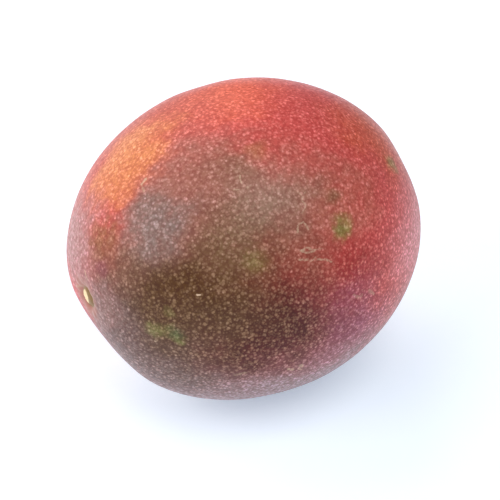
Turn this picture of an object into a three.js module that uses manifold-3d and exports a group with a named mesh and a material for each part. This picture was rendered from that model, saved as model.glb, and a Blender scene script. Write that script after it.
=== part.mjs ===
import * as THREE from 'three';
import { mergeVertices } from 'three/addons/utils/BufferGeometryUtils.js';
import Module from 'manifold-3d';

// One whole passion fruit lying on its side, in millimetres, +Z up.
// Its long axis runs along X. The end that grew on the stem is at -X, the flower's end at +X.
// The origin is on the surface that the fruit rests on, under the middle of its bounding box.
// A place on the rind is given by its turn from the stem end, 0 to 180 degrees, and its turn round
// the long axis, which is 0 at +Y and 90 degrees at +Z.

// Whole fruit
const LENGTH = 63.8;
const THICKNESS = 55;
const REST_SPOT_WIDTH = 8;

// Places where the rind grew flatter, with the depth that each lacks from the plain egg shape.
// The first and widest is the low shoulder of the stem end.
const FLATTER_PLACES = [
  { fromStem: 27, round: -82, depth: 1.27 },
  { fromStem: 146, round: 130, depth: 0.43 },
  { fromStem: 91, round: 58, depth: 0.16 },
  { fromStem: 85, round: -128, depth: 0.37 },
];
const EDGE_SOFTNESS = 0.9;

// Stem end: a corky scar stands in a shallow basin, with a groove and a low, puckered lip round it.
const BASIN_RADIUS = 4.2;
const BASIN_DEPTH = 1.0;
const SCAR_RADIUS = 1.5;
const SCAR_HEIGHT = 0.4;
const GROOVE_RADIUS = 1.95;
const GROOVE_DEPTH = 0.3;
const GROOVE_WIDTH = 0.4;
const LIP_RADIUS = 3.2;
const LIP_HEIGHT = 0.12;
const LIP_WIDTH = 0.95;
const PUCKER_COUNT = 9;
const PUCKER_DEPTH = 0.06;

// Flower end: the dry tip of the style stands in a shallow dimple.
const DIMPLE_RADIUS = 3.2;
const DIMPLE_DEPTH = 0.45;
const TIP_RADIUS = 0.9;
const TIP_HEIGHT = 0.75;

// Mesh: rings lie closer together towards both ends, where the small forms are.
const SEGMENTS_ROUND = 60;
const RINGS_ALONG = 64;
const END_CROWDING = 0.7;
const CUTTER_SIZE = 120;

const rindMaterial = new THREE.MeshStandardMaterial({
  color: new THREE.Color(0.55, 0.2, 0.18),
  roughness: 0.42,
  metalness: 0,
});

// A smooth hill of height 1 at x = 0 that fades out over about one width.
function hill(x, width) {
  return Math.exp(-((x / width) ** 2));
}

// Zero below x = 0, x above it, and rounded over about one edge width between them.
function roundedStep(x, edge) {
  return edge * Math.log1p(Math.exp(x / edge));
}

// Height of the stem end's basin, scar, groove and lip at a distance from the long axis.
function stemRelief(distance, round) {
  const basin = BASIN_DEPTH * hill(distance, BASIN_RADIUS);
  const scar = SCAR_HEIGHT * hill((distance / SCAR_RADIUS) ** 2, 1);
  const groove = GROOVE_DEPTH * hill(distance - GROOVE_RADIUS, GROOVE_WIDTH);
  const pucker = PUCKER_DEPTH * Math.cos(PUCKER_COUNT * round + 1.6 * Math.sin(2 * round));
  const lip = (LIP_HEIGHT + pucker) * hill(distance - LIP_RADIUS, LIP_WIDTH);
  return scar + lip - basin - groove;
}

// Height of the flower end's dimple and tip at a distance from the long axis.
function flowerRelief(distance) {
  const dimple = DIMPLE_DEPTH * hill(distance, DIMPLE_RADIUS);
  const tip = TIP_HEIGHT * hill((distance / TIP_RADIUS) ** 2, 1);
  return tip - dimple;
}

// The plain egg-shaped body, with the relief of its two ends.
function bodyPoint(fromStem, round) {
  const point = new THREE.Vector3(
    -LENGTH / 2 * Math.cos(fromStem),
    THICKNESS / 2 * Math.sin(fromStem) * Math.cos(round),
    THICKNESS / 2 * Math.sin(fromStem) * Math.sin(round),
  );
  const outward = new THREE.Vector3(
    point.x / LENGTH ** 2,
    point.y / THICKNESS ** 2,
    point.z / THICKNESS ** 2,
  ).normalize();
  const distance = Math.hypot(point.y, point.z);
  const relief = fromStem < Math.PI / 2 ? stemRelief(distance, round) : flowerRelief(distance);
  return { point, outward, relief };
}

// How far the plain body reaches in a direction.
function reach(direction) {
  return Math.hypot(LENGTH * direction.x, THICKNESS * direction.y, THICKNESS * direction.z) / 2;
}

function directionOf(place) {
  const fromStem = THREE.MathUtils.degToRad(place.fromStem);
  const round = THREE.MathUtils.degToRad(place.round);
  return new THREE.Vector3(
    -Math.cos(fromStem),
    Math.sin(fromStem) * Math.cos(round),
    Math.sin(fromStem) * Math.sin(round),
  );
}

// Takes a place's depth off at its middle, and less towards its soft edge.
function pressFlatter(point, place) {
  const direction = directionOf(place);
  const edge = EDGE_SOFTNESS * place.depth;
  const atMiddle = edge * Math.log(Math.expm1(place.depth / edge));
  const over = point.dot(direction) - reach(direction) + atMiddle;
  point.addScaledVector(direction, -roundedStep(over, edge));
}

function rindPoint(fromStem, round) {
  const { point, outward, relief } = bodyPoint(fromStem, round);
  FLATTER_PLACES.forEach((place) => pressFlatter(point, place));
  return point.addScaledVector(outward, relief);
}

// The closed rind, shaped from a unit sphere whose poles are turned onto the long axis.
function rindGeometry() {
  const geometry = new THREE.SphereGeometry(1, SEGMENTS_ROUND, RINGS_ALONG);
  geometry.rotateZ(Math.PI / 2);
  const place = geometry.attributes.position;
  for (let i = 0; i < place.count; i += 1) {
    const even = Math.acos(THREE.MathUtils.clamp(-place.getX(i), -1, 1));
    const fromStem = even - END_CROWDING / 2 * Math.sin(2 * even);
    const round = Math.atan2(place.getZ(i), place.getY(i));
    const point = rindPoint(fromStem, round);
    place.setXYZ(i, point.x, point.y, point.z);
  }
  return geometry;
}

// The lowest part of the fruit goes just below z = 0, so that the cut there has the spot's width.
function standOnOrigin(geometry) {
  geometry.computeBoundingBox();
  const box = geometry.boundingBox;
  const radius = THICKNESS / 2;
  const spotDepth = radius - Math.sqrt(radius ** 2 - (REST_SPOT_WIDTH / 2) ** 2);
  geometry.translate(
    -(box.min.x + box.max.x) / 2,
    -(box.min.y + box.max.y) / 2,
    -(box.min.z + spotDepth),
  );
  return geometry;
}

function closedSolid(wasm, geometry) {
  geometry.deleteAttribute('normal');
  geometry.deleteAttribute('uv');
  const merged = mergeVertices(geometry);
  return new wasm.Manifold(new wasm.Mesh({
    numProp: 3,
    vertProperties: new Float32Array(merged.attributes.position.array),
    triVerts: new Uint32Array(merged.index.array),
  }));
}

function geometryOf(solid) {
  const mesh = solid.getMesh();
  const geometry = new THREE.BufferGeometry();
  geometry.setAttribute('position', new THREE.BufferAttribute(mesh.vertProperties, 3));
  geometry.setIndex(new THREE.BufferAttribute(mesh.triVerts, 1));
  geometry.computeVertexNormals();
  return geometry;
}

async function buildFruit() {
  const wasm = await Module();
  wasm.setup();
  const rind = closedSolid(wasm, standOnOrigin(rindGeometry()));
  const below = new THREE.BoxGeometry(CUTTER_SIZE, CUTTER_SIZE, CUTTER_SIZE);
  below.translate(0, 0, -CUTTER_SIZE / 2);
  const rested = rind.subtract(closedSolid(wasm, below));
  const fruit = new THREE.Mesh(geometryOf(rested), rindMaterial);
  fruit.name = 'fruit';
  return fruit;
}

const passionFruit = new THREE.Group();
passionFruit.add(await buildFruit());

export default passionFruit;
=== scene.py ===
import math

import bmesh
import bpy
from bpy.props import FloatProperty, FloatVectorProperty, IntProperty, PointerProperty
from mathutils import Matrix, Vector, noise


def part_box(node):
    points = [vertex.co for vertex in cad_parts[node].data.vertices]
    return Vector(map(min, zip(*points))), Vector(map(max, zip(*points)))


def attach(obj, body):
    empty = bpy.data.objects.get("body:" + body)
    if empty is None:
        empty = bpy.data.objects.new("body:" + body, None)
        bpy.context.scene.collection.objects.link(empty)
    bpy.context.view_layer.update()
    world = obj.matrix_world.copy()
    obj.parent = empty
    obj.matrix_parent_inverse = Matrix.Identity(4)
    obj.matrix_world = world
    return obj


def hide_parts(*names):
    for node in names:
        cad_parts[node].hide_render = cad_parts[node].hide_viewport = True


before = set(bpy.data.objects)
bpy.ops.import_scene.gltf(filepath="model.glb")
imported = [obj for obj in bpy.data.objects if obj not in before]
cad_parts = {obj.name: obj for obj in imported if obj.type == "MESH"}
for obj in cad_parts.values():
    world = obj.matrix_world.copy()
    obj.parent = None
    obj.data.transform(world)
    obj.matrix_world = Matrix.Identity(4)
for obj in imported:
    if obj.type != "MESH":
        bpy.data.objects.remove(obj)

# One whole passion fruit lying on its side, in metres, +Z up, with a plain studio round it.
# Its long axis runs along X, with the stem end at -X and the flower end at +X. A place on the rind
# is given by its turn from the stem end, 0 to 180 degrees, and its turn round the long axis, which
# is 0 at +Y, 90 degrees at +Z and 180 degrees at -Y.

bl_info = {
    "name": "Passion Fruit",
    "version": (1, 0, 0),
    "blender": (4, 5, 0),
    "location": "View3D > Sidebar > Passion Fruit",
    "description": "Models one whole passion fruit and a plain studio round it",
    "category": "Add Mesh",
}

MM = 0.001
NODE = "fruit"
BODY = "root"
CAD_LOW, CAD_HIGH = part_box(NODE)

# Places where the rind grew flatter: turn from the stem end, turn round, depth in millimetres.
FLATTER_PLACES = (
    (27, -82, 1.27),
    (146, 130, 0.43),
    (91, 58, 0.16),
    (85, -128, 0.37),
)
EDGE_SOFTNESS = 0.9

# Swells of the rind: how close together they lie, where their noise is read, and the quick one's
# share of the height.
SLOW_SWELL = 2.2
SLOW_SWELL_PLACE = Vector((7, 1, 4))
QUICK_SWELL = 7
QUICK_SWELL_PLACE = Vector((2, 8, 5))
QUICK_SWELL_SHARE = 0.35

# Stem end in millimetres: a corky, cracked scar in a shallow basin, a groove round it and a
# puckered lip. The cracks' fractal has a dimension, a gap between its octaves and their number.
BASIN_RADIUS = 4.2
BASIN_DEPTH = 1.0
SCAR_RADIUS = 1.5
SCAR_HEIGHT = 0.4
GROOVE_RADIUS = 1.95
GROOVE_DEPTH = 0.3
GROOVE_WIDTH = 0.4
LIP_RADIUS = 3.2
LIP_HEIGHT = 0.12
LIP_WIDTH = 0.95
PUCKER_COUNT = 9
PUCKER_DEPTH = 0.06
PUCKER_DRIFT = 1.6
CRACK_HEIGHT = 0.07
CRACK_FINENESS = 2.4
CRACK_FRACTAL = (1.0, 2.0, 4)

# Flower end in millimetres: the dry, lobed and frayed tip of the style, with a crater in it, in a
# shallow dimple with folds round it. Sizes of lobes and frays are shares of the tip's radius.
DIMPLE_RADIUS = 3.2
DIMPLE_DEPTH = 0.45
TIP_RADIUS = 0.9
TIP_HEIGHT = 0.75
TIP_LOBES = 3
TIP_LOBE_SIZE = 0.25
TIP_FRAYS = 7
TIP_FRAY_SIZE = 0.12
TIP_FRAY_PHASE = 1
CRATER_RADIUS = 0.4
CRATER_DEPTH = 0.3
FOLD_COUNT = 11
FOLD_HEIGHT = 0.05
FOLD_DRIFT = 2
FOLD_RADIUS = 2.4
FOLD_WIDTH = 1.2

# Rings lie closer together towards both ends, where the small forms are.
END_CROWDING = 0.7


def srgb(red, green, blue):
    """The linear colour of a screen colour given from 0 to 255."""
    parts = (channel / 255 for channel in (red, green, blue))
    return tuple(
        part / 12.92 if part <= 0.04045 else ((part + 0.055) / 1.055) ** 2.4 for part in parts
    )


def colour_property(name, description, default):
    return FloatVectorProperty(
        name=name, description=description, subtype="COLOR", size=3, min=0, max=1, default=default
    )


def length_property(name, description, default):
    return FloatProperty(
        name=name,
        description=description,
        subtype="DISTANCE",
        unit="LENGTH",
        min=0,
        default=default,
    )


class FruitSizes(bpy.types.PropertyGroup):
    length: length_property("Length", "Stem end to flower end of the plain egg shape", 63.8 * MM)
    thickness: length_property("Thickness", "Across the long axis", CAD_HIGH.y - CAD_LOW.y)
    rest_spot: length_property("Rest Spot", "Width of the flat spot it lies on", 8 * MM)
    unevenness: length_property("Unevenness", "Height of the rind's slow swells", 0.1 * MM)
    freckle_spacing: length_property("Freckle Spacing", "Between the pale freckles", 0.64 * MM)
    rings: IntProperty(name="Rings", description="Rings along the fruit", default=256, min=16)
    segments: IntProperty(name="Segments", description="Segments round it", default=288, min=16)


class FruitColours(bpy.types.PropertyGroup):
    crimson: colour_property("Crimson", "Ripe red of the flower half", srgb(202, 80, 74))
    coral: colour_property("Coral", "Bright red of the crown", srgb(224, 100, 70))
    ember: colour_property("Ember", "Deep orange red behind the crown", srgb(186, 66, 42))
    orange: colour_property("Orange", "Thin blush over yellow", srgb(210, 124, 70))
    russet: colour_property("Russet", "Brown edge of the orange blush", srgb(146, 88, 54))
    terracotta: colour_property("Terracotta", "Duller red round the green spot", srgb(184, 98, 78))
    bronze: colour_property("Bronze", "Orange brown near the flower end", srgb(200, 88, 40))
    beige: colour_property("Beige", "Dull pinkish beige", srgb(156, 96, 80))
    # Dusk: greyish brown of the middle with a painted highlight of the overhead light's reflection.
    dusk_highlight: colour_property("Dusk", "Greyish brown middle", srgb(142, 102, 79))
    sienna: colour_property("Sienna", "Red brown beside the garnet", srgb(140, 72, 55))
    garnet: colour_property("Garnet", "Deepest red", srgb(160, 40, 36))
    maroon: colour_property("Maroon", "Darkest, ripest rind", srgb(80, 14, 6))
    brown: colour_property("Brown", "Olive brown of the stem half", srgb(84, 50, 20))
    umber: colour_property("Umber", "Dull brown near the stem end", srgb(124, 84, 62))
    olive: colour_property("Olive", "Greenish brown", srgb(106, 88, 50))
    # Grey: a painted highlight, the soft grey reflection of the left window light.
    grey_highlight: colour_property("Grey", "Dulled wax", srgb(120, 100, 90))
    ashen: colour_property("Ashen", "Greyish brown low on the stem half", srgb(110, 82, 76))
    # Rose: the underside's paler, dusty colour, together with a painted reflection of the bright
    # floor.
    rose: colour_property("Rose", "Dusty pink of the underside", srgb(146, 116, 112))
    mauve: colour_property("Mauve", "Purple low on the flower half", srgb(146, 66, 86))
    # Blush: pale pink that is a painted reflection of the bright floor along the flank's edge.
    blush: colour_property("Blush", "Pale pink flank", srgb(212, 128, 124))
    # Lilac: pale colour that is a painted reflection of the bright floor on the stem end's
    # shoulder.
    lilac_reflection: colour_property("Lilac", "Pale shoulder of the stem end", srgb(172, 120, 112))
    pink: colour_property("Pink", "Dusty pink round the stem scar", srgb(134, 100, 90))
    green: colour_property("Green", "Spots that stayed green", srgb(124, 126, 58))
    moss: colour_property("Moss", "Darker green spots", srgb(66, 84, 42))
    straw: colour_property("Straw", "Yellowish spot on the crown", srgb(176, 110, 70))
    freckle: colour_property("Freckle", "What a pale freckle adds to the rind", srgb(110, 92, 67))
    cork: colour_property("Cork", "Corky stem scar", srgb(240, 208, 158))
    # Groove: olive colour with painted shade of the groove's wall.
    groove: colour_property("Groove", "Olive groove round the scar", srgb(140, 112, 66))
    lip: colour_property("Lip", "Smooth lip round the stem scar", srgb(176, 126, 110))
    tip: colour_property("Tip", "Dry tip of the flower end", srgb(92, 66, 44))
    scuff: colour_property("Scuff", "Pale scuffs and healed scratches", srgb(204, 170, 140))


# Soft patches of colour, laid over the crimson in this order: turn from the stem end, turn round,
# reach, share of the reach that is full colour, strength, colour. The reach is a distance on a
# fruit of radius 1.
PATCHES = (
    (89, 78, 0.52, 0.1, 0.95, "coral"),
    (58, 60, 0.72, 0.3, 1.0, "ember"),
    # The rose patch paints the underside paler: dusty colour with a painted reflection of the
    # floor.
    (82, -112, 1.4, 0.44, 1.0, "rose"),
    # This blush patch is a painted reflection of the bright floor along the flank's edge.
    (130, 166, 0.38, 0.05, 0.9, "blush"),
    (128, 116, 0.46, 0.1, 0.65, "bronze"),
    (98, 166, 0.4, 0.1, 0.9, "garnet"),
    (94, -176, 0.44, 0.0, 0.9, "mauve"),
    (100, 141, 0.28, 0.2, 0.6, "terracotta"),
    (55, 128, 0.68, 0.42, 1.0, "beige"),
    # The dusk patch is greyish brown with a painted highlight where the overhead light is
    # reflected.
    (79, 132, 0.54, 0.2, 0.85, "dusk_highlight"),
    (80, 155, 0.38, 0.2, 0.9, "sienna"),
    (30, -170, 0.74, 0.3, 1.0, "ashen"),
    (66, 177, 0.56, 0.2, 1.0, "maroon"),
    (43, 158, 0.66, 0.2, 1.0, "brown"),
    (64, 142, 0.32, 0.05, 0.4, "olive"),
    # The grey patch is a painted highlight where the left window light is softly reflected.
    (43, 114, 0.28, 0.1, 0.8, "grey_highlight"),
    (53, 76, 0.34, 0.2, 1.0, "orange"),
    (40, 80, 0.22, 0.2, 0.7, "orange"),
    # The lilac patch is a painted reflection of the bright floor on the stem end's shoulder.
    (19, 54, 0.42, 0.3, 1.0, "lilac_reflection"),
    (27, 96, 0.16, 0.2, 0.9, "russet"),
    (25, 125, 0.3, 0.2, 0.6, "umber"),
    (8, 170, 0.24, 0.2, 0.9, "pink"),
)

# Small ragged spots, each given in the same way, with its reach in millimetres.
SPOTS = (
    (95.8, 146.3, 2.4, 0.2, 0.6, "green"),
    (95.2, 149.0, 2.1, 0.2, 0.6, "green"),
    (32.4, 173.9, 2.1, 0.1, 0.45, "green"),
    (36.8, 174.6, 2.1, 0.1, 0.3, "green"),
    (39.7, 175.2, 2.0, 0.1, 0.6, "moss"),
    (41.0, 178.5, 1.6, 0.1, 0.45, "green"),
    (38.7, 162.7, 1.6, 0.1, 0.35, "green"),
    (67.1, 148.4, 2.8, 0.0, 0.35, "green"),
    (81.1, 112.7, 2.4, 0.1, 0.5, "straw"),
    (95.8, 136.8, 2.2, 0.1, 0.5, "olive"),
    (127.9, 131.0, 2.3, 0.2, 0.62, "green"),
    (19.7, 116.9, 2.2, 0.1, 0.4, "mauve"),
    (60.0, -162.8, 0.34, 0.5, 0.9, "tip"),
)

# Scuffs and healed scratches: width in millimetres, strength, and the places each runs through.
SCRATCHES = (
    (0.16, 0.5, ((80.7, 149.8), (82.6, 149.7), (84.5, 151.1))),
    (0.16, 0.5, ((80.7, 149.9), (82.2, 151.3), (84.1, 151.4))),
    (0.1, 0.35, ((84.3, 151.0), (87.0, 151.8))),
    (0.16, 0.5, ((79.4, 152.7), (82.0, 153.6))),
    (0.12, 0.45, ((82.5, 154.4), (84.2, 153.7))),
    (0.16, 0.5, ((85.0, 154.6), (87.0, 155.4), (89.2, 157.0))),
    (0.14, 0.5, ((81.0, 143.7), (82.1, 141.8), (84.0, 141.2), (84.6, 144.0))),
    (0.12, 0.35, ((86.0, 131.3), (86.4, 133.9))),
    (0.12, 0.35, ((87.9, 132.4), (85.9, 134.4), (86.3, 136.7), (84.4, 138.4))),
    (0.12, 0.6, ((72.6, 118.8), (72.0, 121.1))),
    (0.14, 0.4, ((69.3, 122.4), (70.5, 123.1))),
    (0.15, 0.5, ((72.9, 123.5), (72.9, 123.6))),
    (0.21, 0.7, ((47.8, 97.6), (49.7, 97.2))),
    (0.19, 0.35, ((47.6, 98.5), (47.0, 101.8))),
    (0.25, 0.35, ((58.5, -162.0), (61.2, -163.5))),
    (0.25, 0.7, ((74.7, -163.2), (76.3, -161.9))),
    (0.37, 0.6, ((78.4, -163.6), (79.0, -162.8))),
    (0.19, 0.6, ((78.1, -161.7), (79.3, -160.9))),
    (0.13, 1.0, ((48.5, 155.3), (49.3, 155.5))),
    (0.25, 0.3, ((95.2, 172.0), (97.1, 173.9), (98.3, 173.6))),
    (0.22, 0.4, ((101.2, 173.5), (103.3, 176.0))),
    (0.16, 0.6, ((32.8, -177.0), (32.9, -177.0))),
    (0.19, 0.6, ((11.8, 92.2), (9.7, 104.6))),
    (0.19, 0.8, ((8.4, -2.9), (4.6, 33.7), (3.2, 57.4))),
)

# Noise patterns: how fine each is and its detail. A wandering one also has how far it goes.
NOISE_ROUGHNESS = 0.55
PATCH_SLOW_WANDER = (2.6, 3, 0.5)
PATCH_QUICK_WANDER = (13, 3, 0.2)
SPOT_WANDER = (0.45, 4, 3.2)
SCRATCH_WANDER = (1.4, 2, 0.5)
WEAR_PATTERN = (3, 2)
END_PATTERN = (1.3, 3)
GRAIN_PATTERN = (1.6, 3)
PEEL_PATTERN = (1.4, 3)

# Freckles. Lengths are shares of the spacing, and each pair gives the least and the most. The small
# ones' pattern is read elsewhere, so that they don't lie on the large ones.
FRECKLE_WANDER = (2, 1, 0.4)
FRECKLE_SIZE = (0.7, 1.3)
FRECKLE_STRENGTH = (0.3, 1.0)
FRECKLE_OUTER_EDGE = 0.14
FRECKLE_INNER_EDGE = -0.28
LARGE_FRECKLE = 0.42
SMALL_FRECKLE = 0.4
SMALL_FRECKLE_SPACING = 0.64
SMALL_FRECKLE_STRENGTH = 0.6
SMALL_FRECKLE_PLACE = 31.7
FRECKLE_LIGHTENING = (1.4, 1.45, 2.1)

# The underside is paler and dustier, with a painted reflection of the bright floor on it: its
# middle, where this starts and is full on a fruit of radius 1, and the strength of the freckles
# outside and inside it.
UNDERSIDE = (100, -122)
DUST_AND_SHEEN_STARTS = 1.5
DUST_AND_SHEEN_FULL = 0.7
DUST_AND_SHEEN_STRENGTH = (0.82, 1.42)

# Fine grain darkens the rind under the freckles.
GRAIN_EDGES = (0.35, 0.65)
GRAIN_SHARE = 0.5
GRAIN_DARKENING = (0.54, 0.2, 0.2)

# Scratches: where the wear starts and is full, its strength, and the widths over which they fade.
WEAR_EDGES = (0.36, 0.56)
WEAR_STRENGTH = (0.4, 1.0)
STROKE_FADE = (1.5, 0.5)

# Colours of both ends. They start and are full at two shares of half the length. A ring starts and
# is full at two distances from the long axis, in millimetres, and has a strength. The freckles
# start beyond the bare radius.
END_STARTS = 0.5
END_FULL = 0.7
BARE_RADIUS = 2.5
FRECKLED_RADIUS = 5
STEM_RAGGEDNESS = 0.5
DRY_RAGGEDNESS = 1.2
# The cork sits towards +Y so the olive ring shows on the -Y side: painted shade over olive colour.
CORK_MIDDLE = (0, 0.3, 0)
CORK_OVAL = (0, 1.3, 1)
LIP_RING = (4.6, 2.6, 0.7)
GROOVE_SHADE_RING = (2.1, 1.7, 0.85)
CORK_RING = (1.5, 1.15, 1.0)
DIMPLE_RING = (3.4, 1.2, 0.6)
TIP_RING = (1.3, 0.8, 1.0)

# The waxy skin's shine and its fine relief. The relief's height is in millimetres.
SKIN_ROUGHNESS = (0.34, 0.44)
SKIN_IOR = 1.45
SKIN_SHINE = 0.3
PEEL_SHARE = 0.7
FRECKLE_SHARE = 0.2
RELIEF_STRENGTH = 0.4
RELIEF_HEIGHT = 0.08


def hill(x, width):
    """A smooth hill of height 1 at x = 0 that fades out over about one width."""
    return math.exp(-((x / width) ** 2))


def rounded_step(x, edge):
    """Zero below x = 0, x above it, and rounded over about one edge width between them."""
    return edge * math.log1p(math.exp(x / edge))


def toward(from_stem, turn_round):
    """The unit vector of a place given in degrees."""
    stem, turn = math.radians(from_stem), math.radians(turn_round)
    return Vector(
        (-math.cos(stem), math.sin(stem) * math.cos(turn), math.sin(stem) * math.sin(turn))
    )


def cork_grain(distance, turn):
    """Fine cracks and grains of the stem scar, in millimetres."""
    place = Vector((distance * math.cos(turn), distance * math.sin(turn), 0))
    cracks = noise.fractal(place * CRACK_FINENESS, *CRACK_FRACTAL)
    return CRACK_HEIGHT * cracks * hill(distance / SCAR_RADIUS, 1)


def stem_relief(distance, turn):
    """Height of the stem end's basin, scar, groove and lip, in millimetres."""
    basin = BASIN_DEPTH * hill(distance, BASIN_RADIUS)
    scar = SCAR_HEIGHT * hill((distance / SCAR_RADIUS) ** 2, 1)
    groove = GROOVE_DEPTH * hill(distance - GROOVE_RADIUS, GROOVE_WIDTH)
    pucker = PUCKER_DEPTH * math.cos(PUCKER_COUNT * turn + PUCKER_DRIFT * math.sin(2 * turn))
    lip = (LIP_HEIGHT + pucker) * hill(distance - LIP_RADIUS, LIP_WIDTH)
    return scar + lip + cork_grain(distance, turn) - basin - groove


def flower_relief(distance, turn):
    """Height of the flower end's dimple and its dry, ragged tip, in millimetres."""
    dimple = DIMPLE_DEPTH * hill(distance, DIMPLE_RADIUS)
    lobes = TIP_LOBE_SIZE * math.cos(TIP_LOBES * turn)
    frays = TIP_FRAY_SIZE * math.cos(TIP_FRAYS * turn + TIP_FRAY_PHASE)
    tip = TIP_HEIGHT * hill((distance / TIP_RADIUS / (1 + lobes + frays)) ** 2, 1)
    crater = CRATER_DEPTH * hill(distance, CRATER_RADIUS)
    folds = FOLD_HEIGHT * math.cos(FOLD_COUNT * turn + FOLD_DRIFT * math.sin(2 * turn))
    return tip + folds * hill(distance - FOLD_RADIUS, FOLD_WIDTH) - dimple - crater


class Body:
    """The fruit's form in millimetres, about its own middle."""

    def __init__(self, sizes):
        self.half = Vector((sizes.length, sizes.thickness, sizes.thickness)) / 2 / MM
        self.unevenness = sizes.unevenness / MM
        self.presses = [self.press(*place) for place in FLATTER_PLACES]

    def press(self, from_stem, turn_round, depth):
        """A flatter place's direction, the height where it starts, and its soft edge's width."""
        direction = toward(from_stem, turn_round)
        edge = EDGE_SOFTNESS * depth
        at_middle = edge * math.log(math.expm1(depth / edge))
        return direction, (self.half * direction).length - at_middle, edge

    def swell(self, direction):
        """Slow swells of the rind, in millimetres."""
        slow = noise.noise(direction * SLOW_SWELL + SLOW_SWELL_PLACE)
        quick = noise.noise(direction * QUICK_SWELL + QUICK_SWELL_PLACE)
        return self.unevenness * (slow + QUICK_SWELL_SHARE * quick)

    def point(self, direction):
        """The rind's point for a unit direction, measured on a ball."""
        plain = self.half * direction
        outward = Vector(part / half for part, half in zip(direction, self.half)).normalized()
        distance = math.hypot(plain.y, plain.z)
        turn = math.atan2(direction.z, direction.y)
        relief = stem_relief if direction.x < 0 else flower_relief
        pressed = plain
        for way, start, edge in self.presses:
            pressed = pressed - way * rounded_step(pressed.dot(way) - start, edge)
        return pressed + outward * (relief(distance, turn) + self.swell(direction))


def crowded(direction):
    """A ball's direction moved along its meridian, so that rings lie closer at both ends."""
    even = math.acos(max(-1, min(1, -direction.x)))
    stem = even - END_CROWDING / 2 * math.sin(2 * even)
    return toward(math.degrees(stem), math.degrees(math.atan2(direction.z, direction.y)))


def fruit_mesh(sizes):
    """The whole rind as one closed mesh, cut flat where it rests."""
    mesh = bmesh.new()
    poles_on_x = Matrix.Rotation(math.radians(-90), 3, "Y").to_4x4()
    bmesh.ops.create_uvsphere(
        mesh, u_segments=sizes.segments, v_segments=sizes.rings, radius=1, matrix=poles_on_x
    )
    body = Body(sizes)
    for vert in mesh.verts:
        vert.co = body.point(crowded(vert.co.normalized())) * MM
    stand_on_floor(mesh, sizes)
    bmesh.ops.recalc_face_normals(mesh, faces=mesh.faces)
    return mesh


def corners(mesh):
    """The lowest and highest corner of the mesh's bounding box."""
    columns = list(zip(*(vert.co for vert in mesh.verts)))
    return Vector(map(min, columns)), Vector(map(max, columns))


def stand_on_floor(mesh, sizes):
    """Lower the fruit until the cut at the floor has the rest spot's width, then cut it."""
    radius = sizes.thickness / 2
    spot_depth = radius - math.sqrt(radius**2 - (sizes.rest_spot / 2) ** 2)
    low, high = corners(mesh)
    shift = (CAD_LOW + CAD_HIGH - low - high) / 2
    shift.z = CAD_LOW.z - low.z - spot_depth
    bmesh.ops.translate(mesh, vec=shift, verts=mesh.verts)
    bmesh.ops.bisect_plane(
        mesh,
        geom=mesh.verts[:] + mesh.edges[:] + mesh.faces[:],
        plane_co=(0, 0, 0),
        plane_no=(0, 0, -1),
        clear_outer=True,
    )
    rim = [edge for edge in mesh.edges if edge.is_boundary]
    bmesh.ops.holes_fill(mesh, edges=rim, sides=0)


def piece_from(mesh, name, material):
    """Turn a bmesh into an object at the origin. Faces of more than four corners stay flat."""
    data = bpy.data.meshes.new(name)
    for face in mesh.faces:
        face.smooth = len(face.verts) <= 4
    mesh.to_mesh(data)
    mesh.free()
    data.materials.append(material)
    piece = bpy.data.objects.new(name, data)
    bpy.context.scene.collection.objects.link(piece)
    return piece


class Wire:
    """One output of a shader node. Maths on it adds Math nodes."""

    def __init__(self, shader, socket):
        self.shader = shader
        self.socket = socket

    def math(self, operation, first, second):
        return self.shader.add("ShaderNodeMath", {"operation": operation}, {0: first, 1: second})

    def __add__(self, other):
        return self.math("ADD", self, other)

    def __radd__(self, other):
        return self.math("ADD", other, self)

    def __sub__(self, other):
        return self.math("SUBTRACT", self, other)

    def __rsub__(self, other):
        return self.math("SUBTRACT", other, self)

    def __mul__(self, other):
        return self.math("MULTIPLY", self, other)

    def __rmul__(self, other):
        return self.math("MULTIPLY", other, self)


class Shader:
    """Adds nodes to one material: settings first, then the values or links of their sockets."""

    def __init__(self, material):
        material.use_nodes = True
        self.nodes = material.node_tree.nodes
        self.links = material.node_tree.links
        self.nodes.clear()

    def add(self, kind, settings=None, inputs=None, output=0):
        """Add one node and return one of its outputs, or nothing from a node that has none."""
        node = self.nodes.new(kind)
        for name, value in (settings or {}).items():
            setattr(node, name, value)
        for name, value in (inputs or {}).items():
            if isinstance(value, Wire):
                self.links.new(value.socket, node.inputs[name])
            else:
                node.inputs[name].default_value = value
        return Wire(self, node.outputs[output]) if node.outputs else None

    def smooth(self, value, start, end):
        """0 where value is at start, 1 at end, and a smooth step between them."""
        return self.add(
            "ShaderNodeMapRange",
            {"interpolation_type": "SMOOTHSTEP"},
            {"Value": value, "From Min": start, "From Max": end},
        )

    def mix(self, factor, first, second, blend="MIX"):
        return self.add(
            "ShaderNodeMix",
            {"data_type": "RGBA", "blend_type": blend},
            {0: factor, 6: with_alpha(first), 7: with_alpha(second)},
            output=2,
        )

    def most(self, first, second):
        return self.add("ShaderNodeMath", {"operation": "MAXIMUM"}, {0: first, 1: second})

    def vector(self, operation, first, second, output=0):
        return self.add(
            "ShaderNodeVectorMath", {"operation": operation}, {0: first, 1: second}, output
        )

    def shift(self, place, scale, detail, amount):
        """A vector that wanders from place to place, to bend the edges of a pattern."""
        wander = self.noise(place, scale, detail, "Color")
        centred = self.vector("SUBTRACT", wander, (0.5,) * 3)
        return self.vector("MULTIPLY", centred, (amount,) * 3)

    def noise(self, place, scale, detail, output=0):
        return self.add(
            "ShaderNodeTexNoise",
            {"noise_dimensions": "3D"},
            {
                "Vector": place,
                "Scale": scale,
                "Detail": detail,
                "Roughness": NOISE_ROUGHNESS,
            },
            output,
        )


def with_alpha(colour):
    return colour if isinstance(colour, Wire) else (*colour, 1)


def between(share, least, most):
    """least where share is 0, most where it is 1, and even steps between them."""
    return share * (most - least) + least


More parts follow.
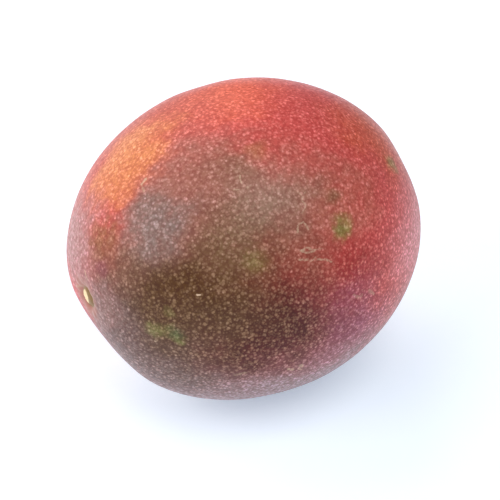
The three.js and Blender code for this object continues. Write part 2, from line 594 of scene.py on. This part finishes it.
class Places:
    """Where a shaded point lies: in millimetres, and on a ball about the fruit's middle."""

    def __init__(self, shader, sizes):
        half = Vector((sizes.length, sizes.thickness, sizes.thickness)) / 2
        middle = Vector(((CAD_LOW.x + CAD_HIGH.x) / 2, 0, CAD_HIGH.z - sizes.thickness / 2))
        at = shader.add("ShaderNodeTexCoord", output="Object")
        self.mm = shader.vector("MULTIPLY", at, (1 / MM,) * 3)
        self.unit = shader.add(
            "ShaderNodeMapping",
            {"vector_type": "POINT"},
            {
                "Vector": at,
                "Location": [-m / h for m, h in zip(middle, half)],
                "Scale": [1 / h for h in half],
            },
        )
        slow = shader.shift(self.unit, *PATCH_SLOW_WANDER)
        quick = shader.shift(self.unit, *PATCH_QUICK_WANDER)
        self.warped = shader.vector("ADD", self.unit, shader.vector("ADD", slow, quick))
        along = shader.add("ShaderNodeSeparateXYZ", None, {"Vector": self.unit}, "X")
        self.stem_side = shader.smooth(along, -END_STARTS, -END_FULL)
        self.flower_side = shader.smooth(along, END_STARTS, END_FULL)
        self.from_middle = shader.vector("MULTIPLY", self.unit, half / MM)
        across = shader.vector("MULTIPLY", self.from_middle, (0, 1, 1))
        self.from_axis = shader.vector("LENGTH", across, (0, 0, 0), "Value")
        self.radius = sizes.thickness / 2 / MM
        ball = shader.vector("NORMALIZE", self.unit, (0, 0, 0))
        ball = shader.vector("MULTIPLY", ball, (self.radius,) * 3)
        self.ball = shader.vector("ADD", ball, shader.shift(self.mm, *SCRATCH_WANDER))
        self.lumpy = shader.vector("ADD", ball, shader.shift(self.mm, *SPOT_WANDER))


def patched(shader, places, colours):
    """The rind's colour without freckles: soft patches and small spots over the ripe red."""
    colour = colours.crimson
    for rows, place, radius in ((PATCHES, places.warped, 1), (SPOTS, places.lumpy, places.radius)):
        for from_stem, turn_round, reach, core, strength, name in rows:
            middle = toward(from_stem, turn_round) * radius
            away = shader.vector("DISTANCE", place, middle, "Value")
            mask = shader.smooth(away, reach, reach * core) * strength
            colour = shader.mix(mask, colour, getattr(colours, name))
    return colour


def freckles(shader, places, spacing, size, start):
    """Soft round dots in cells of the given spacing, each of its own size and strength."""
    fineness, detail, amount = FRECKLE_WANDER
    spread = shader.shift(places.mm, fineness / spacing, detail, amount * spacing)
    place = shader.vector("ADD", places.mm, shader.vector("ADD", spread, (start,) * 3))
    settings = {"voronoi_dimensions": "3D", "feature": "F1"}
    inputs = {"Vector": place, "Scale": 1 / spacing, "Randomness": 1.0}
    cell = shader.add("ShaderNodeTexVoronoi", settings, inputs, "Color")
    away = shader.add("ShaderNodeTexVoronoi", settings, inputs, "Distance")
    own = shader.add("ShaderNodeSeparateColor", None, {"Color": cell}, "Red")
    strength = shader.add("ShaderNodeSeparateColor", None, {"Color": cell}, "Green")
    beyond = away - size * between(own, *FRECKLE_SIZE)
    dot = shader.smooth(beyond, FRECKLE_OUTER_EDGE, FRECKLE_INNER_EDGE)
    return dot * between(strength, *FRECKLE_STRENGTH)


def freckled(shader, colour, mask, freckle):
    """A freckle lightens the rind under it, its blue the most, and adds its own pale colour."""
    lit = shader.mix(mask, colour, FRECKLE_LIGHTENING, "MULTIPLY")
    return shader.mix(mask, lit, freckle, "ADD")


def scratched(shader, places, colour, scuff):
    """Lay pale, worn scuffs and healed scratches over the rind."""
    wear = shader.smooth(shader.noise(places.mm, *WEAR_PATTERN), *WEAR_EDGES)
    worn = between(wear, *WEAR_STRENGTH)
    for width, strength, trail in SCRATCHES:
        points = [toward(*place) * places.radius for place in trail]
        mask = 0.0
        for start, end in zip(points, points[1:]):
            mask = shader.most(mask, stroke(shader, places, start, end, width))
        colour = shader.mix(mask * worn * strength, colour, scuff)
    return colour


def stroke(shader, places, start, end, width):
    """1 on the straight line between two points of the ball, fading out over its width."""
    line = end - start
    here = shader.vector("SUBTRACT", places.ball, start)
    share = shader.vector("DOT_PRODUCT", here, line / line.length_squared, "Value")
    share = shader.add("ShaderNodeClamp", None, {"Value": share})
    scale = {"operation": "SCALE"}
    nearest = shader.add("ShaderNodeVectorMath", scale, {0: line, "Scale": share})
    away = shader.vector("DISTANCE", here, nearest, "Value")
    outside, inside = (width * fade for fade in STROKE_FADE)
    return shader.smooth(away, outside, inside)


def ragged_distance(shader, places, raggedness):
    """Distance from the long axis in millimetres, with a ragged edge of the given width."""
    return places.from_axis + (shader.noise(places.mm, *END_PATTERN) - 0.5) * raggedness


def ends_coloured(shader, places, colour, colours):
    """Lay the stem end's lip, groove and corky scar and the flower end's dry tip over the rind."""
    stem = ragged_distance(shader, places, STEM_RAGGEDNESS)
    dry = ragged_distance(shader, places, DRY_RAGGEDNESS)
    cork = shader.vector("SUBTRACT", places.from_middle, CORK_MIDDLE)
    cork = shader.vector("MULTIPLY", cork, CORK_OVAL)
    cork = shader.vector("LENGTH", cork, (0, 0, 0), "Value")
    rings = (
        (places.stem_side, stem, LIP_RING, colours.lip),
        # The groove ring: olive colour with painted shade of the groove's wall.
        (places.stem_side, stem, GROOVE_SHADE_RING, colours.groove),
        (places.stem_side, cork, CORK_RING, colours.cork),
        (places.flower_side, dry, DIMPLE_RING, colours.russet),
        (places.flower_side, dry, TIP_RING, colours.tip),
    )
    for side, distance, (start, end, strength), ring_colour in rings:
        ring = shader.smooth(distance, start, end) * side * strength
        colour = shader.mix(ring, colour, ring_colour)
    return colour


def rind_material(sizes, colours):
    """Waxy, freckled skin in soft patches of colour."""
    material = bpy.data.materials.new("freckled_rind")
    shader = Shader(material)
    places = Places(shader, sizes)
    spacing = sizes.freckle_spacing / MM
    # Stronger freckles on the underside: dust together with a painted reflection of the bright
    # floor.
    underside = shader.vector("DISTANCE", places.unit, toward(*UNDERSIDE), "Value")
    dust_and_sheen = shader.smooth(underside, DUST_AND_SHEEN_STARTS, DUST_AND_SHEEN_FULL)
    away_from_ends = shader.smooth(places.from_axis, BARE_RADIUS, FRECKLED_RADIUS)
    share = away_from_ends * between(dust_and_sheen, *DUST_AND_SHEEN_STRENGTH)
    large = freckles(shader, places, spacing, LARGE_FRECKLE, 0) * share
    close = spacing * SMALL_FRECKLE_SPACING
    small = freckles(shader, places, close, SMALL_FRECKLE, SMALL_FRECKLE_PLACE) * share
    grain = shader.smooth(shader.noise(places.mm, *GRAIN_PATTERN), *GRAIN_EDGES)
    base = patched(shader, places, colours)
    darkened = shader.mix(1, base, GRAIN_DARKENING, "MULTIPLY")
    base = shader.mix(grain * GRAIN_SHARE, base, darkened)
    colour = freckled(shader, base, large, colours.freckle)
    colour = freckled(shader, colour, small * SMALL_FRECKLE_STRENGTH, colours.freckle)
    colour = scratched(shader, places, colour, colours.scuff)
    colour = ends_coloured(shader, places, colour, colours)
    height = shader.noise(places.mm, *PEEL_PATTERN) * PEEL_SHARE + large * FRECKLE_SHARE
    relief = {"Strength": RELIEF_STRENGTH, "Distance": RELIEF_HEIGHT * MM, "Height": height}
    skin = shader.add(
        "ShaderNodeBsdfPrincipled",
        None,
        {
            "Base Color": colour,
            "Roughness": between(grain, *SKIN_ROUGHNESS),
            "IOR": SKIN_IOR,
            "Specular IOR Level": SKIN_SHINE,
            "Normal": shader.add("ShaderNodeBump", None, relief),
        },
    )
    shader.add("ShaderNodeOutputMaterial", None, {"Surface": skin})
    return material


class MakeFruit(bpy.types.Operator):
    """Model the whole fruit and its freckled rind"""

    bl_idname = "passion_fruit.make_fruit"
    bl_label = "Make Fruit"

    def execute(self, context):
        sizes = context.scene.fruit_sizes
        material = rind_material(sizes, context.scene.fruit_colours)
        fruit = piece_from(fruit_mesh(sizes), "passion_fruit", material)
        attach(fruit, BODY)
        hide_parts(NODE)
        return {"FINISHED"}


# Studio. A light has its name, its direction from the fruit, its distance and size in metres, its
# power in watts and its colour. The camera's azimuth and elevation are in degrees.
CAMERA_AZIMUTH = -32.6
CAMERA_ELEVATION = 35.6
CAMERA_DISTANCE = 0.24
CAMERA_LENS = 99.0
SENSOR_WIDTH = 36.0
CLIP_START = 0.01
AIM_RIGHT = 0.38 * MM
AIM_UP = -2.34 * MM
FLOOR_RADIUS = 1.5
FLOOR_SEGMENTS = 96
LIGHTS = (
    ("window_behind", (-0.2, 0.8, 0.58), 0.9, 1.4, 7.6, (1.0, 0.95, 0.88)),
    ("window_left", (-0.84, 0.0, 0.54), 0.8, 0.6, 3.4, (0.94, 0.97, 1.0)),
    ("overhead", (0.08, -0.5, 0.86), 0.8, 0.6, 3.0, (0.98, 0.99, 1.0)),
)
WORLD_COLOUR = (0.76, 0.88, 1.0)
WORLD_STRENGTH = 0.3
FLOOR_COLOUR = (0.78, 0.8, 0.82)
FLOOR_ROUGHNESS = 0.9
FLOOR_SHINE = 0.1
FLOOR_GLOW = (0.66, 0.82, 0.99)
FLOOR_GLOW_STRENGTH = 0.42


def fruit_middle():
    return (CAD_LOW + CAD_HIGH) / 2


def add_camera():
    azimuth, elevation = math.radians(CAMERA_AZIMUTH), math.radians(CAMERA_ELEVATION)
    back = Vector(
        (
            math.sin(azimuth) * math.cos(elevation),
            -math.cos(azimuth) * math.cos(elevation),
            math.sin(elevation),
        )
    )
    right = Vector((math.cos(azimuth), math.sin(azimuth), 0))
    up = back.cross(right)
    eye = fruit_middle() + back * CAMERA_DISTANCE
    aim = fruit_middle() + right * AIM_RIGHT + up * AIM_UP
    data = bpy.data.cameras.new("camera")
    data.lens = CAMERA_LENS
    data.sensor_width = SENSOR_WIDTH
    data.clip_start = CLIP_START
    camera = bpy.data.objects.new("camera", data)
    camera.location = eye
    camera.rotation_euler = (aim - eye).to_track_quat("-Z", "Y").to_euler()
    bpy.context.scene.collection.objects.link(camera)
    bpy.context.scene.camera = camera


def add_light(name, direction, distance, size, power, colour):
    data = bpy.data.lights.new(name, "AREA")
    data.shape = "DISK"
    data.size = size
    data.energy = power
    data.color = colour
    light = bpy.data.objects.new(name, data)
    light.location = fruit_middle() + Vector(direction).normalized() * distance
    light.rotation_euler = Vector(direction).to_track_quat("Z", "Y").to_euler()
    bpy.context.scene.collection.objects.link(light)


def floor_material():
    """A pale table top with a little cool light of its own, which keeps the shadow soft."""
    material = bpy.data.materials.new("floor")
    shader = Shader(material)
    table = shader.add(
        "ShaderNodeBsdfPrincipled",
        None,
        {
            "Base Color": with_alpha(FLOOR_COLOUR),
            "Roughness": FLOOR_ROUGHNESS,
            "Specular IOR Level": FLOOR_SHINE,
            "Emission Color": with_alpha(FLOOR_GLOW),
            "Emission Strength": FLOOR_GLOW_STRENGTH,
        },
    )
    shader.add("ShaderNodeOutputMaterial", None, {"Surface": table})
    return material


def add_floor():
    mesh = bmesh.new()
    bmesh.ops.create_circle(mesh, cap_ends=True, segments=FLOOR_SEGMENTS, radius=FLOOR_RADIUS)
    data = bpy.data.meshes.new("floor")
    mesh.to_mesh(data)
    mesh.free()
    data.materials.append(floor_material())
    floor = bpy.data.objects.new("floor", data)
    bpy.context.scene.collection.objects.link(floor)


def set_world():
    world = bpy.data.worlds.new("studio")
    world.use_nodes = True
    sky = world.node_tree.nodes["Background"]
    sky.inputs["Color"].default_value = (*WORLD_COLOUR, 1)
    sky.inputs["Strength"].default_value = WORLD_STRENGTH
    bpy.context.scene.world = world
    bpy.context.scene.view_settings.view_transform = "Standard"


class MakeStudio(bpy.types.Operator):
    """Add the floor, the soft lights and the camera"""

    bl_idname = "passion_fruit.make_studio"
    bl_label = "Make Studio"

    def execute(self, context):
        add_floor()
        for light in LIGHTS:
            add_light(*light)
        set_world()
        add_camera()
        return {"FINISHED"}


class FruitPanel(bpy.types.Panel):
    """Sizes, colours and makers of the passion fruit"""

    bl_idname = "VIEW3D_PT_passion_fruit"
    bl_label = "Passion Fruit"
    bl_space_type = "VIEW_3D"
    bl_region_type = "UI"
    bl_category = "Passion Fruit"

    def draw(self, context):
        for group in (context.scene.fruit_sizes, context.scene.fruit_colours):
            for name in group.__annotations__:
                self.layout.prop(group, name)
        self.layout.operator(MakeFruit.bl_idname)
        self.layout.operator(MakeStudio.bl_idname)


CLASSES = (FruitSizes, FruitColours, MakeFruit, MakeStudio, FruitPanel)


def register():
    for each in CLASSES:
        bpy.utils.register_class(each)
    bpy.types.Scene.fruit_sizes = PointerProperty(type=FruitSizes)
    bpy.types.Scene.fruit_colours = PointerProperty(type=FruitColours)


def unregister():
    del bpy.types.Scene.fruit_colours
    del bpy.types.Scene.fruit_sizes
    for each in reversed(CLASSES):
        bpy.utils.unregister_class(each)


def main():
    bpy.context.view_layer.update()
    register()
    bpy.ops.passion_fruit.make_fruit()
    bpy.ops.passion_fruit.make_studio()


if __name__ == "__main__":
    main()
